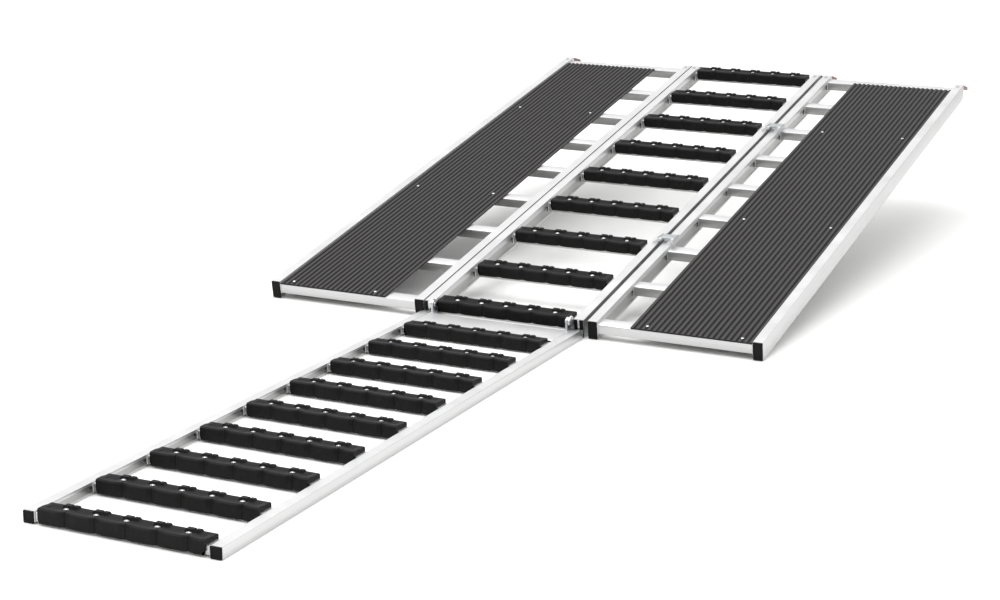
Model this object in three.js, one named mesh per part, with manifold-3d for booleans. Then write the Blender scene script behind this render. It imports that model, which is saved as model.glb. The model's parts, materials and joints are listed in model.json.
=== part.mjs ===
// Folding loading ramp: three ladder panels side by side, with a hinged extension at their lower end.
// Millimetres, +Z up, X across the ramp, +Y up the ramp, ground at Z = 0.
// Each piece is shaped in its own panel frame: Y = 0 at the panel's lower end, Z = 0 on its rail tops.

import * as THREE from "three";
import { mergeVertices } from "three/addons/utils/BufferGeometryUtils.js";
import Module from "manifold-3d";

const wasm = await Module();
wasm.setup();

// ---- Driving dimensions ----

const FIT_GAP = 0.4; // clearance between pieces that touch on the real ramp
const CUT = 5; // how far a cutter runs past the face it cuts

// The three main panels
const MAIN_LENGTH = 1981;
const CENTRE_WIDTH = 444;
const SIDE_WIDTH = 456.5;
const LEFT_GAP = 4;
const RIGHT_GAP = 11;
const SLOPE = THREE.MathUtils.degToRad(10.3); // main panels at rest, with the extension flat on the ground

// Extruded side rails, hollow
const RAIL_WIDTH = 26;
const RAIL_HEIGHT = 48;
const RAIL_WALL = 3;
const RAIL_CORNER_RISE = 14; // the lower corner at the top end is cut off
const RAIL_CORNER_RUN = 16;

// Rungs: rectangular tube, welded between the rails
const RUNG_COUNT = 9;
const RUNG_WIDTH = 38;
const RUNG_HEIGHT = 25;
const RUNG_WALL = 2;
const RUNG_DROP = 8; // rung top below the rail top
const FIRST_RUNG = 20;
const RUNG_SPACING = 241;

// Extension
const EXTENSION_LENGTH = 1647;
const EXTENSION_RAIL_WIDTH = 26;
const EXTENSION_RAIL_HEIGHT = 26;
const EXTENSION_DROP = 22.5; // extension rail tops below the main rail tops, at the joint
const EXTENSION_FIRST_RUNG = 20;
const EXTENSION_RUNG_SPACING = 183;
const EXTENSION_RUNG_HEIGHT = 18;
const EXTENSION_RUNG_DROP = 3;
const EXTENSION_END = 27; // from the joint line to the upper end of the extension rails

// Glide caps on the rungs of the centre panel and the extension
const CAP_LENGTH = 372;
const CAP_DEPTH = 48;
const CAP_TOP = 13; // above the rung's top
const CAP_SKIRT = 18.5; // bottom of the skirt below the rung's top
const CAP_CHAMFER = 8;

// Ribbed deck mats on the side panels
const MAT_WIDTH = 316;
const MAT_FRONT = 1;
const MAT_BACK = 1932;
const MAT_BASE = 1.6;
const MAT_RIB_COUNT = 22;
const MAT_RIB_WIDTH = 8;
const MAT_DROP = 3.5; // rib tops below the rail tops

// End plugs and hook fingers
const PLUG_FLANGE = 3;
const PLUG_INSET = 1;
const PLUG_SPIGOT = 22;
const HOOK_ANGLE = THREE.MathUtils.degToRad(23.5); // fingers point down from the panel's plane
const HOOK_LENGTH = 66;
const HOOK_WIDTH = 24;
const HOOK_THICKNESS = 11;
const HOOK_TOP = 1; // top of the finger below the rail top
const HOOK_TONGUE = 60;
const HOOK_GUSSET_WIDTH = 10;
const HOOK_GUSSET_DROP = 26;

// Transition plate at the top of the extension
const PLATE_UPPER = 32;
const PLATE_DEPTH = 100;
const PLATE_THICKNESS = 18;
const PLATE_WALL = 3;
const PLATE_DROP = 1;

// Extension hinge: a lug inside each centre rail, an ear on each extension hinge block
const FOLD_PIN_Y = -16;
const FOLD_PIN_Z = 0;
const FOLD_PIN_RADIUS = 4;
const LUG_RADIUS = 11;
const LUG_THICKNESS = 5.5;
const LUG_TAIL = 34;
const LUG_DEPTH = 22;
const EAR_THICKNESS = 5.5;
const BLOCK_FACE = 5; // gap between the joint line and the hinge block
const BLOCK_SPIGOT = 30;

// Right side hinges: links with two pins each, standing on the rail tops
const HINGE_STATIONS = [0.27 * MAIN_LENGTH, 0.73 * MAIN_LENGTH];
const LINK_LENGTH = 34;
const LINK_PIN_X = 5.7; // inner pin outside the centre panel's edge
const LINK_PIN_Z = 10;
const LINK_HALF_THICKNESS = 4;
const LINK_WIDTH = 26;
const KNUCKLE_RADIUS = 4.7;
const KNUCKLE_WIDTH = 10;
const KNUCKLE_BASE = 16;
const SIDE_PIN_RADIUS = 2.5;

// Left side hinges: butt hinges under the rails
const LEAF_THICKNESS = 2.5;
const LEAF_WIDTH = 22;
const LEAF_LENGTH = 80;
const BARREL_RADIUS = 4;
const BARREL_KNUCKLES = 3;

// ---- Places worked out from the driving dimensions ----

const CENTRE_EDGE = CENTRE_WIDTH / 2;
const LEFT_INNER = -CENTRE_EDGE - LEFT_GAP;
const LEFT_OUTER = LEFT_INNER - SIDE_WIDTH;
const RIGHT_INNER = CENTRE_EDGE + RIGHT_GAP;
const RIGHT_OUTER = RIGHT_INNER + SIDE_WIDTH;
const LUG_OUTER = CENTRE_EDGE - RAIL_WIDTH;
const EAR_OUTER = LUG_OUTER - LUG_THICKNESS - FIT_GAP;
const INNER_LINK_PIN = CENTRE_EDGE + LINK_PIN_X;
const OUTER_LINK_PIN = INNER_LINK_PIN + LINK_LENGTH;
const LEFT_PIN_X = -CENTRE_EDGE - LEFT_GAP / 2;
const LEFT_PIN_Z = -RAIL_HEIGHT - 0.3 - BARREL_RADIUS;

// ---- Materials ----

const material = (color, roughness, metalness) =>
  new THREE.MeshStandardMaterial({ color, roughness, metalness });
const aluminium = material(0xdcdcd8, 0.4, 1);
const zincSteel = material(0xa8aaac, 0.45, 1);
const blackPlastic = material(0x161616, 0.55, 0);
const matPlastic = material(0x454343, 0.7, 0);
const hookCoating = material(0x5a3436, 0.7, 0);

// ---- Solids ----

// A closed three.js geometry as a solid that can be joined and cut.
function solid(geometry) {
  geometry.deleteAttribute("normal");
  geometry.deleteAttribute("uv");
  const merged = mergeVertices(geometry, 1e-4);
  return new wasm.Manifold(
    new wasm.Mesh({
      numProp: 3,
      vertProperties: new Float32Array(merged.attributes.position.array),
      triVerts: new Uint32Array(merged.index.array),
    }),
  );
}

function box([x0, x1], [y0, y1], [z0, z1]) {
  const geometry = new THREE.BoxGeometry(x1 - x0, y1 - y0, z1 - z0);
  geometry.translate((x0 + x1) / 2, (y0 + y1) / 2, (z0 + z1) / 2);
  return solid(geometry);
}

// An outline drawn as (Y, Z), extruded along X.
function alongX(shape, [x0, x1], curveSegments = 10) {
  const geometry = new THREE.ExtrudeGeometry(shape, { depth: x1 - x0, bevelEnabled: false, curveSegments });
  geometry.applyMatrix4(new THREE.Matrix4().set(0, 0, 1, x0, 1, 0, 0, 0, 0, 1, 0, 0, 0, 0, 0, 1));
  return solid(geometry);
}

// An outline drawn as (Z, X), extruded along Y.
function alongY(shape, [y0, y1], curveSegments = 10) {
  const geometry = new THREE.ExtrudeGeometry(shape, { depth: y1 - y0, bevelEnabled: false, curveSegments });
  geometry.applyMatrix4(new THREE.Matrix4().set(0, 1, 0, 0, 0, 0, 1, y0, 1, 0, 0, 0, 0, 0, 0, 1));
  return solid(geometry);
}

function outline(points) {
  return new THREE.Shape(points.map(([a, b]) => new THREE.Vector2(a, b)));
}

function disc(a, b, radius) {
  return new THREE.Shape().absarc(a, b, radius, 0, 2 * Math.PI);
}

const join = (solids) => solids.reduce((whole, piece) => whole.add(piece));
const mirrorX = ([x0, x1]) => [-x1, -x0];

function addTo(group, name, body, finish) {
  const { numProp, vertProperties, triVerts } = body.getMesh();
  const geometry = new THREE.BufferGeometry();
  geometry.setAttribute("position", new THREE.BufferAttribute(vertProperties, numProp));
  geometry.setIndex(new THREE.BufferAttribute(triVerts, 1));
  geometry.computeVertexNormals();
  const mesh = new THREE.Mesh(geometry, finish);
  mesh.name = name;
  group.add(mesh);
}

// ---- Welded ladder frames ----

// Two hollow rails and the hollow rungs between them; each rung's bore opens into both rails.
function ladder({ left, right, railWidth, railHeight, y0, y1, rungs, rungDrop, rungHeight }) {
  const rails = [
    [left, left + railWidth],
    [right - railWidth, right],
  ];
  const railBodies = rails.map((x) => box(x, [y0, y1], [-railHeight, 0]));
  const railBores = rails.map(([x0, x1]) =>
    box([x0 + RAIL_WALL, x1 - RAIL_WALL], [y0 - CUT, y1 + CUT], [RAIL_WALL - railHeight, -RAIL_WALL]),
  );
  const rungTube = (y, inset, x) =>
    box(
      x,
      [y - RUNG_WIDTH / 2 + inset, y + RUNG_WIDTH / 2 - inset],
      [inset - rungDrop - rungHeight, -rungDrop - inset],
    );
  const rungBodies = rungs.map((y) => rungTube(y, 0, [left + railWidth - 1, right - railWidth + 1]));
  const rungBores = rungs.map((y) =>
    rungTube(y, RUNG_WALL, [left + railWidth - RAIL_WALL - 1, right - railWidth + RAIL_WALL + 1]),
  );
  return join([...railBodies, ...rungBodies])
    .subtract(join(railBores))
    .subtract(join(rungBores));
}

const mainRungs = Array.from({ length: RUNG_COUNT }, (_, n) => FIRST_RUNG + n * RUNG_SPACING);
const extensionRungs = Array.from(
  { length: RUNG_COUNT },
  (_, n) => -EXTENSION_LENGTH + EXTENSION_FIRST_RUNG + n * EXTENSION_RUNG_SPACING,
);

function mainLadder(left, right) {
  const cornerCut = alongX(
    outline([
      [MAIN_LENGTH - RAIL_CORNER_RUN, -RAIL_HEIGHT],
      [MAIN_LENGTH - RAIL_CORNER_RUN - CUT, -RAIL_HEIGHT - CUT],
      [MAIN_LENGTH + CUT, -RAIL_HEIGHT - CUT],
      [MAIN_LENGTH + CUT, RAIL_CORNER_RISE - RAIL_HEIGHT],
      [MAIN_LENGTH, RAIL_CORNER_RISE - RAIL_HEIGHT],
    ]),
    [left - CUT, right + CUT],
  );
  return ladder({
    left,
    right,
    railWidth: RAIL_WIDTH,
    railHeight: RAIL_HEIGHT,
    y0: 0,
    y1: MAIN_LENGTH,
    rungs: mainRungs,
    rungDrop: RUNG_DROP,
    rungHeight: RUNG_HEIGHT,
  }).subtract(cornerCut);
}

// ---- Extension hinge ----

// The lug is welded to the inner face of a centre rail and carries the fold pin beyond the rail's lower end.
function foldLug() {
  const shape = new THREE.Shape();
  shape.absarc(FOLD_PIN_Y, FOLD_PIN_Z, LUG_RADIUS, Math.PI / 2, (3 * Math.PI) / 2);
  shape.lineTo(FOLD_PIN_Y + LUG_RADIUS, FOLD_PIN_Z - LUG_RADIUS);
  shape.lineTo(CUT, -LUG_DEPTH);
  shape.lineTo(LUG_TAIL, -LUG_DEPTH);
  shape.lineTo(LUG_TAIL, -RAIL_WALL);
  shape.lineTo(CUT, -RAIL_WALL);
  shape.lineTo(FOLD_PIN_Y + LUG_RADIUS, FOLD_PIN_Z + LUG_RADIUS);
  shape.holes.push(disc(FOLD_PIN_Y, FOLD_PIN_Z, FOLD_PIN_RADIUS + FIT_GAP));
  const plate = alongX(shape, [LUG_OUTER - LUG_THICKNESS, LUG_OUTER - 0.1]);
  const weld = box([LUG_OUTER - 2, LUG_OUTER + 1], [2, LUG_TAIL - 2], [2 - LUG_DEPTH, -RAIL_WALL - 2]);
  return plate.add(weld);
}

// The pin's place and the ear are drawn in the extension's own frame.
const pinInExtension = new THREE.Vector2(FOLD_PIN_Y, FOLD_PIN_Z + EXTENSION_DROP).rotateAround(
  new THREE.Vector2(0, 0),
  SLOPE,
);

// The block closes the extension rail's upper end; its ear rises to the fold pin.
function hingeBlock() {
  const railInner = CENTRE_EDGE - EXTENSION_RAIL_WIDTH;
  const back = -EXTENSION_END;
  const front = -BLOCK_FACE;
  const shape = new THREE.Shape();
  shape.moveTo(back, -EXTENSION_RAIL_HEIGHT);
  shape.lineTo(front, -EXTENSION_RAIL_HEIGHT);
  shape.lineTo(front, -2);
  shape.lineTo(pinInExtension.x + LUG_RADIUS, pinInExtension.y);
  shape.absarc(pinInExtension.x, pinInExtension.y, LUG_RADIUS, 0, Math.PI);
  shape.lineTo(back - 4, 0);
  shape.holes.push(disc(pinInExtension.x, pinInExtension.y, FOLD_PIN_RADIUS + FIT_GAP));
  const ear = alongX(shape, [EAR_OUTER - EAR_THICKNESS, EAR_OUTER]);
  const body = box([EAR_OUTER - 1, CENTRE_EDGE], [back + FIT_GAP, front], [-EXTENSION_RAIL_HEIGHT, -2]);
  const spigot = box(
    [railInner + RAIL_WALL + FIT_GAP, CENTRE_EDGE - RAIL_WALL - FIT_GAP],
    [back - BLOCK_SPIGOT, back + 1],
    [RAIL_WALL + FIT_GAP - EXTENSION_RAIL_HEIGHT, -RAIL_WALL - FIT_GAP],
  );
  return join([ear, body, spigot]);
}

const foldPinSpan = [EAR_OUTER - EAR_THICKNESS - 3, LUG_OUTER - FIT_GAP];

// ---- Right side hinges ----

// Two lugs stand on a rail top at each station and hold one pin; side is +1 or -1, towards the pin.
function knuckles(pinX, railEdge, side) {
  const lug = (y) => {
    const base = railEdge - side * KNUCKLE_BASE;
    const shape = outline([
      [-1, base],
      [1, base],
      [LINK_PIN_Z + KNUCKLE_RADIUS * 0.8, pinX - side * KNUCKLE_RADIUS * 0.6],
      [LINK_PIN_Z, pinX],
      [LINK_PIN_Z - KNUCKLE_RADIUS * 0.8, pinX - side * KNUCKLE_RADIUS * 0.6],
      [2, railEdge],
      [-1, railEdge],
    ]);
    const web = alongY(shape, [y, y + KNUCKLE_WIDTH]);
    const barrel = alongY(disc(LINK_PIN_Z, pinX, KNUCKLE_RADIUS), [y, y + KNUCKLE_WIDTH]);
    const boreSpan = [y - CUT, y + KNUCKLE_WIDTH + CUT];
    const bore = alongY(disc(LINK_PIN_Z, pinX, SIDE_PIN_RADIUS + FIT_GAP), boreSpan);
    return web.add(barrel).subtract(bore);
  };
  const offset = LINK_WIDTH / 2 + FIT_GAP;
  return join(HINGE_STATIONS.flatMap((y) => [lug(y - offset - KNUCKLE_WIDTH), lug(y + offset)]));
}

function link(station) {
  const shape = new THREE.Shape();
  shape.absarc(LINK_PIN_Z, INNER_LINK_PIN, LINK_HALF_THICKNESS, Math.PI, 2 * Math.PI);
  shape.absarc(LINK_PIN_Z, OUTER_LINK_PIN, LINK_HALF_THICKNESS, 0, Math.PI);
  for (const x of [INNER_LINK_PIN, OUTER_LINK_PIN]) {
    shape.holes.push(disc(LINK_PIN_Z, x, SIDE_PIN_RADIUS + FIT_GAP));
  }
  return alongY(shape, [station - LINK_WIDTH / 2, station + LINK_WIDTH / 2]);
}

function linkPin(x, station) {
  const reach = LINK_WIDTH / 2 + FIT_GAP + KNUCKLE_WIDTH + 1;
  return alongY(disc(LINK_PIN_Z, x, SIDE_PIN_RADIUS), [station - reach, station + reach]);
}

// ---- Left side hinges ----

// One leaf of a butt hinge: side is +1 for the centre panel's leaf, which has the two outer knuckles.
function hingeLeaf(station, side) {
  const y0 = station - LEAF_LENGTH / 2;
  const knuckle = LEAF_LENGTH / BARREL_KNUCKLES;
  const mine = side > 0 ? [0, 2] : [1];
  const plateX = [LEFT_PIN_X + side * (BARREL_RADIUS + 1), LEFT_PIN_X + side * (LEAF_WIDTH + BARREL_RADIUS)];
  const plateTop = -RAIL_HEIGHT - 0.3;
  const plate = box(
    [Math.min(...plateX), Math.max(...plateX)],
    [y0, y0 + LEAF_LENGTH],
    [plateTop - LEAF_THICKNESS, plateTop],
  );
  const barrels = mine.map((n) => {
    const span = [y0 + n * knuckle + FIT_GAP, y0 + (n + 1) * knuckle - FIT_GAP];
    const edge = [LEFT_PIN_X, LEFT_PIN_X + side * (BARREL_RADIUS + 2)];
    const web = box([Math.min(...edge), Math.max(...edge)], span, [plateTop - LEAF_THICKNESS, plateTop]);
    return web.add(alongY(disc(LEFT_PIN_Z, LEFT_PIN_X, BARREL_RADIUS), span));
  });
  const boreSpan = [y0 - CUT, y0 + LEAF_LENGTH + CUT];
  const bore = alongY(disc(LEFT_PIN_Z, LEFT_PIN_X, SIDE_PIN_RADIUS + FIT_GAP), boreSpan);
  return join([plate, ...barrels]).subtract(bore);
}

// ---- Caps, mats, plugs, hooks and plate ----

// A moulded cap that sits over a rung like a saddle, open underneath.
function glideCap(y, rungDrop) {
  const half = CAP_DEPTH / 2;
  const top = CAP_TOP - rungDrop;
  const skirt = CAP_SKIRT + rungDrop;
  const rungHalf = RUNG_WIDTH / 2 + FIT_GAP;
  const rungTop = FIT_GAP - rungDrop;
  const saddle = alongX(
    outline([
      [y - half, -skirt],
      [y - rungHalf, -skirt],
      [y - rungHalf, rungTop],
      [y + rungHalf, rungTop],
      [y + rungHalf, -skirt],
      [y + half, -skirt],
      [y + half, top - 3],
      [y + half - 4, top],
      [y - half + 4, top],
      [y - half, top - 3],
    ]),
    [-CAP_LENGTH / 2, CAP_LENGTH / 2],
  );
  const corner = (side) => {
    const end = (side * CAP_LENGTH) / 2;
    const shape = outline([
      [-skirt - CUT, end - side * (CAP_CHAMFER + CUT)],
      [-skirt - CUT, end + side * CUT],
      [-skirt + CAP_CHAMFER + CUT, end + side * CUT],
    ]);
    return alongY(shape, [y - half - CUT, y + half + CUT]);
  };
  return saddle.subtract(corner(1)).subtract(corner(-1));
}

// A sheet with ribs running up the ramp.
function ribbedMat([x0, x1]) {
  const base = -RUNG_DROP + FIT_GAP;
  const pitch = (x1 - x0 - MAT_RIB_WIDTH) / (MAT_RIB_COUNT - 1);
  const points = [
    [base, x1],
    [base, x0],
  ];
  for (let n = 0; n < MAT_RIB_COUNT; n += 1) {
    const rib = x0 + n * pitch;
    const start = n === 0 ? rib : rib + 0.5;
    const end = n === MAT_RIB_COUNT - 1 ? rib + MAT_RIB_WIDTH : rib + MAT_RIB_WIDTH - 0.5;
    if (n > 0) points.push([base + MAT_BASE, rib]);
    points.push([-MAT_DROP, start], [-MAT_DROP, end]);
    if (n < MAT_RIB_COUNT - 1) points.push([base + MAT_BASE, rib + MAT_RIB_WIDTH]);
  }
  return alongY(outline(points), [MAT_FRONT, MAT_BACK]);
}

// A push-in plug: a flange over the rail's end and a spigot inside it.
function railPlug([x0, x1], railHeight, y) {
  const flange = box(
    [x0 + PLUG_INSET, x1 - PLUG_INSET],
    [y - PLUG_FLANGE, y - FIT_GAP],
    [PLUG_INSET - railHeight, -PLUG_INSET],
  );
  const inset = RAIL_WALL + FIT_GAP;
  const spigot = box([x0 + inset, x1 - inset], [y - 1, y + PLUG_SPIGOT], [inset - railHeight, -inset]);
  return flange.add(spigot);
}

// A hook: a tongue inside the rail's top end, a sloping finger that rests on the tailgate, and a gusset.
function hookFinger([x0, x1]) {
  const middle = (x0 + x1) / 2;
  const inset = RAIL_WALL + FIT_GAP;
  const tongue = box(
    [x0 + inset, x1 - inset],
    [MAIN_LENGTH - HOOK_TONGUE, MAIN_LENGTH + 2],
    [-inset - HOOK_THICKNESS - 8, -inset],
  );
  const slide = Math.tan(HOOK_ANGLE);
  const start = MAIN_LENGTH + FIT_GAP;
  const tip = start + HOOK_LENGTH * Math.cos(HOOK_ANGLE);
  const topAt = (y) => -HOOK_TOP - (y - start) * slide;
  const finger = alongX(
    outline([
      [start, topAt(start)],
      [start, topAt(start) - HOOK_THICKNESS / Math.cos(HOOK_ANGLE)],
      [tip, topAt(tip) - HOOK_THICKNESS / Math.cos(HOOK_ANGLE)],
      [tip, topAt(tip)],
    ]),
    [middle - HOOK_WIDTH / 2, middle + HOOK_WIDTH / 2],
  );
  const gusset = alongX(
    outline([
      [start, topAt(start) - HOOK_THICKNESS / 2],
      [start, -HOOK_TOP - HOOK_GUSSET_DROP],
      [start + 5, -HOOK_TOP - HOOK_GUSSET_DROP],
      [start + 26, topAt(start + 26) - HOOK_THICKNESS / 2],
    ]),
    [middle - HOOK_GUSSET_WIDTH / 2, middle + HOOK_GUSSET_WIDTH / 2],
  );
  return join([tongue, finger, gusset]);
}

// An inverted channel that bridges the step between the extension and the centre panel.
function transitionPlate() {
  const reach = CENTRE_EDGE - EXTENSION_RAIL_WIDTH - FIT_GAP;
  const y0 = -PLATE_UPPER - PLATE_DEPTH;
  const y1 = -PLATE_UPPER;
  const top = -PLATE_DROP;
  const body = box([-reach, reach], [y0, y1], [top - PLATE_THICKNESS, top]);
  const hollow = box(
    [-reach - CUT, reach + CUT],
    [y0 + PLATE_WALL, y1 - PLATE_WALL],
    [top - PLATE_THICKNESS - CUT, top - PLATE_WALL],
  );
  return body.subtract(hollow);
}

// ---- Assembly ----

const ramp = new THREE.Group();
const mainPanels = new THREE.Group();
const extension = new THREE.Group();
ramp.add(mainPanels, extension);

addTo(
  mainPanels,
  "centre_frame",
  join([
    mainLadder(-CENTRE_EDGE, CENTRE_EDGE),
    foldLug(),
    foldLug().mirror([1, 0, 0]),
    knuckles(INNER_LINK_PIN, CENTRE_EDGE, 1),
  ]),
  aluminium,
);
addTo(mainPanels, "left_frame", mainLadder(LEFT_OUTER, LEFT_INNER), aluminium);
addTo(
  mainPanels,
  "right_frame",
  mainLadder(RIGHT_INNER, RIGHT_OUTER).add(knuckles(OUTER_LINK_PIN, RIGHT_INNER + RAIL_WIDTH, 1)),
  aluminium,
);
addTo(
  extension,
  "extension_frame",
  ladder({
    left: -CENTRE_EDGE,
    right: CENTRE_EDGE,
    railWidth: EXTENSION_RAIL_WIDTH,
    railHeight: EXTENSION_RAIL_HEIGHT,
    y0: -EXTENSION_LENGTH,
    y1: -EXTENSION_END,
    rungs: extensionRungs,
    rungDrop: EXTENSION_RUNG_DROP,
    rungHeight: EXTENSION_RUNG_HEIGHT,
  }),
  aluminium,
);

mainRungs.forEach((y, n) => {
  addTo(mainPanels, `centre_cap_${n + 1}`, glideCap(y, RUNG_DROP), blackPlastic);
});
extensionRungs.forEach((y, n) => {
  addTo(extension, `extension_cap_${n + 1}`, glideCap(y, EXTENSION_RUNG_DROP), blackPlastic);
});

const mainRails = {
  left_outer: [LEFT_OUTER, LEFT_OUTER + RAIL_WIDTH],
  left_inner: [LEFT_INNER - RAIL_WIDTH, LEFT_INNER],
  centre_left: [-CENTRE_EDGE, RAIL_WIDTH - CENTRE_EDGE],
  centre_right: [CENTRE_EDGE - RAIL_WIDTH, CENTRE_EDGE],
  right_inner: [RIGHT_INNER, RIGHT_INNER + RAIL_WIDTH],
  right_outer: [RIGHT_OUTER - RAIL_WIDTH, RIGHT_OUTER],
};
const extensionRails = {
  extension_left: [-CENTRE_EDGE, EXTENSION_RAIL_WIDTH - CENTRE_EDGE],
  extension_right: [CENTRE_EDGE - EXTENSION_RAIL_WIDTH, CENTRE_EDGE],
};
for (const [rail, x] of Object.entries(mainRails)) {
  addTo(mainPanels, `${rail}_plug`, railPlug(x, RAIL_HEIGHT, 0), blackPlastic);
  addTo(mainPanels, `${rail}_hook`, hookFinger(x), hookCoating);
}
for (const [rail, x] of Object.entries(extensionRails)) {
  addTo(extension, `${rail}_plug`, railPlug(x, EXTENSION_RAIL_HEIGHT, -EXTENSION_LENGTH), blackPlastic);
}

const leftMat = [LEFT_OUTER + RAIL_WIDTH + FIT_GAP, LEFT_OUTER + RAIL_WIDTH + FIT_GAP + MAT_WIDTH];
addTo(mainPanels, "left_mat", ribbedMat(leftMat), matPlastic);
const rightMat = [RIGHT_OUTER - RAIL_WIDTH - FIT_GAP - MAT_WIDTH, RIGHT_OUTER - RAIL_WIDTH - FIT_GAP];
addTo(mainPanels, "right_mat", ribbedMat(rightMat), matPlastic);

addTo(extension, "transition_plate", transitionPlate(), aluminium);
const rightBlock = hingeBlock();
addTo(extension, "extension_hinge_block_right", rightBlock, zincSteel);
addTo(extension, "extension_hinge_block_left", rightBlock.mirror([1, 0, 0]), zincSteel);
const foldPin = (x) => alongX(disc(FOLD_PIN_Y, FOLD_PIN_Z, FOLD_PIN_RADIUS), x);
addTo(mainPanels, "extension_hinge_pin_right", foldPin(foldPinSpan), zincSteel);
addTo(mainPanels, "extension_hinge_pin_left", foldPin(mirrorX(foldPinSpan)), zincSteel);

["lower", "upper"].forEach((place, n) => {
  const station = HINGE_STATIONS[n];
  addTo(mainPanels, `right_hinge_link_${place}`, link(station), zincSteel);
  addTo(mainPanels, `right_hinge_inner_pin_${place}`, linkPin(INNER_LINK_PIN, station), zincSteel);
  addTo(mainPanels, `right_hinge_outer_pin_${place}`, linkPin(OUTER_LINK_PIN, station), zincSteel);
  addTo(mainPanels, `left_hinge_centre_leaf_${place}`, hingeLeaf(station, 1), zincSteel);
  addTo(mainPanels, `left_hinge_panel_leaf_${place}`, hingeLeaf(station, -1), zincSteel);
  const barrel = [station - LEAF_LENGTH / 2, station + LEAF_LENGTH / 2];
  const leftPin = alongY(disc(LEFT_PIN_Z, LEFT_PIN_X, SIDE_PIN_RADIUS), barrel);
  addTo(mainPanels, `left_hinge_pin_${place}`, leftPin, zincSteel);
});

// The extension lies flat on the ground, and the main panels rise from the joint line at the rest slope.
extension.position.z = EXTENSION_RAIL_HEIGHT;
mainPanels.rotation.x = SLOPE;
mainPanels.position.y = -EXTENSION_DROP * Math.sin(SLOPE);
mainPanels.position.z = EXTENSION_RAIL_HEIGHT + EXTENSION_DROP * Math.cos(SLOPE);

// The origin is the middle of the ramp's footprint.
ramp.updateMatrixWorld(true);
const footprint = new THREE.Box3().setFromObject(ramp, true);
ramp.position.x = -(footprint.min.x + footprint.max.x) / 2;
ramp.position.y = -(footprint.min.y + footprint.max.y) / 2;

export default ramp;
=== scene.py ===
"""A folding loading ramp: three ladder-frame panels side by side, with an extension hinged at their foot.

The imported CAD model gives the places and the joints, and each section below makes the finished look of one
kind of piece. Pieces are shaped in their panel's own frame: X across, Y up the panel from its lower end, and
Z = 0 on the tops of its rails. A matrix then puts them where the panel lies.
"""

import json
import math

import bmesh
import bpy
from mathutils import Euler, Matrix, Vector


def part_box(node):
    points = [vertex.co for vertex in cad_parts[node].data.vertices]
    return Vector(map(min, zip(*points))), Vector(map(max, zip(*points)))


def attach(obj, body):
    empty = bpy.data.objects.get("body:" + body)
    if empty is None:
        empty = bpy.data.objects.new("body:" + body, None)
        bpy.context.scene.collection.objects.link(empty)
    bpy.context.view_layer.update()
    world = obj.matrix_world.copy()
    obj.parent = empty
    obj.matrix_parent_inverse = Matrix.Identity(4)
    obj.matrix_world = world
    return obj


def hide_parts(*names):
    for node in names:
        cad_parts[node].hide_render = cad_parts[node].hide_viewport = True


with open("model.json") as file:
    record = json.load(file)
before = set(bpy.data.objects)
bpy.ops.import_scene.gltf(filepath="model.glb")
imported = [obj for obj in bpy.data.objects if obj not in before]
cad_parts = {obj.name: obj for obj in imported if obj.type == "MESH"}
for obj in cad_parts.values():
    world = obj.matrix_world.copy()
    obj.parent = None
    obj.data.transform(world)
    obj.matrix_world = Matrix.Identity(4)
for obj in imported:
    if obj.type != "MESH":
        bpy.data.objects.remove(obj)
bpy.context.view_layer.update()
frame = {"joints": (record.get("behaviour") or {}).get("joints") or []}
mm = 0.001

# ---- Camera ----
# A long lens on a stand in front of the ramp's foot, to its right and a little under head height, tipped down
# at the middle of the ramp.

camera = bpy.data.objects.new("camera", bpy.data.cameras.new("camera"))
bpy.context.scene.collection.objects.link(camera)
bpy.context.scene.camera = camera
camera.data.lens = 74.9
camera.data.clip_end = 60
aim = Euler((math.radians(75.3), 0, math.radians(25.4))).to_matrix()
lean = Matrix.Rotation(math.radians(0.28), 3, "Z")
camera.matrix_world = Matrix.Translation((2.172, -4.782, 1.4085)) @ (aim @ lean).to_4x4()

# ---- Floor and lights ----
# A plain white studio: one large pale floor, an even white surround, and two soft boxes that give the
# aluminium its highlights and the ramp a faint shadow.


def linear(colour):
    """An sRGB hex colour as the linear colour that a shader takes."""
    parts = [int(colour[n : n + 2], 16) / 255 for n in (1, 3, 5)]
    return [p / 12.92 if p <= 0.04045 else ((p + 0.055) / 1.055) ** 2.4 for p in parts] + [1]


def add(tree, kind, inputs, **settings):
    """Adds a shader node with its settings; each input takes a value or another node's output."""
    node = tree.nodes.new("ShaderNode" + kind)
    for name, value in settings.items():
        setattr(node, name, value)
    for name, value in inputs.items():
        if isinstance(value, bpy.types.NodeSocket):
            tree.links.new(value, node.inputs[name])
        else:
            node.inputs[name].default_value = value
    return node


def spread(tree, value, low, high, to_low, to_high):
    """Turns the part of a value's range between low and high into another range."""
    ends = {"From Min": low, "From Max": high, "To Min": to_low, "To Max": to_high}
    return add(tree, "MapRange", {"Value": value, **ends}).outputs["Result"]


def blank(name):
    """A material with an empty node tree."""
    material = bpy.data.materials.new(name)
    material.use_nodes = True
    material.node_tree.nodes.clear()
    return material, material.node_tree


def studio_paper():
    """Matt white paper: even and pale, with no sheen."""
    material, tree = blank("studio_paper")
    paper = add(tree, "BsdfPrincipled", {"Base Color": linear("#F7F7F6"), "Roughness": 0.9})
    add(tree, "OutputMaterial", {"Surface": paper.outputs["BSDF"]})
    return material


floor_mesh = bpy.data.meshes.new("floor")
floor_shape = bmesh.new()
bmesh.ops.create_grid(floor_shape, x_segments=1, y_segments=1, size=30)
floor_shape.to_mesh(floor_mesh)
floor_shape.free()
floor_mesh.materials.append(studio_paper())
floor = bpy.data.objects.new("floor", floor_mesh)
bpy.context.scene.collection.objects.link(floor)

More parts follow.
